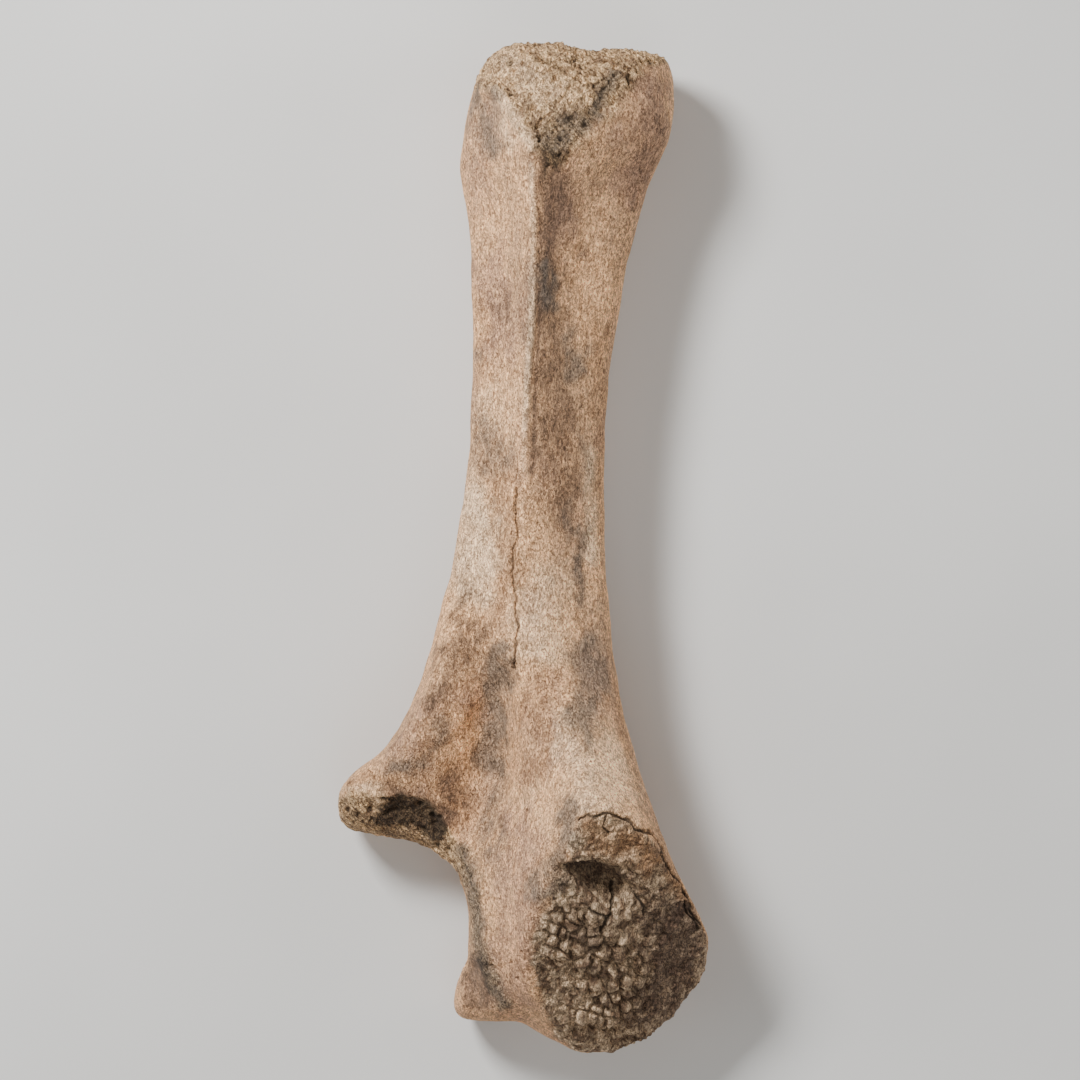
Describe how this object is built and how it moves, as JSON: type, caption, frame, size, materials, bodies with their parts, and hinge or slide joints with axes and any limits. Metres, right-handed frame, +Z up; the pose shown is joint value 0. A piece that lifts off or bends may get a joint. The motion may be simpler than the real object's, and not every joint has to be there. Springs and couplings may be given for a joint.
{
  "type": "fossil woolly rhinoceros ulna",
  "caption": "Fossil forearm bone of a young rhinoceros: long three-sided shaft, hooked elbow notch with a side wing, and rough growth surfaces where the loose end caps were.",
  "frame": {"origin": "on the surface it lies on, under the middle of its bounding box", "axes": "+Y along the shaft towards its lower end (the wrist), +Z up, from the front side it lies on to its rear crest, -X towards the longer wing of the elbow joint"},
  "size_m": [0.154, 0.419, 0.1043],
  "materials": {
    "fossil_bone": "dry matt tan fossil bone with grey, ochre and brown stains"
  },
  "bodies": {
    "root": {"ulna": "fossil_bone"}
  },
  "joints": []
}
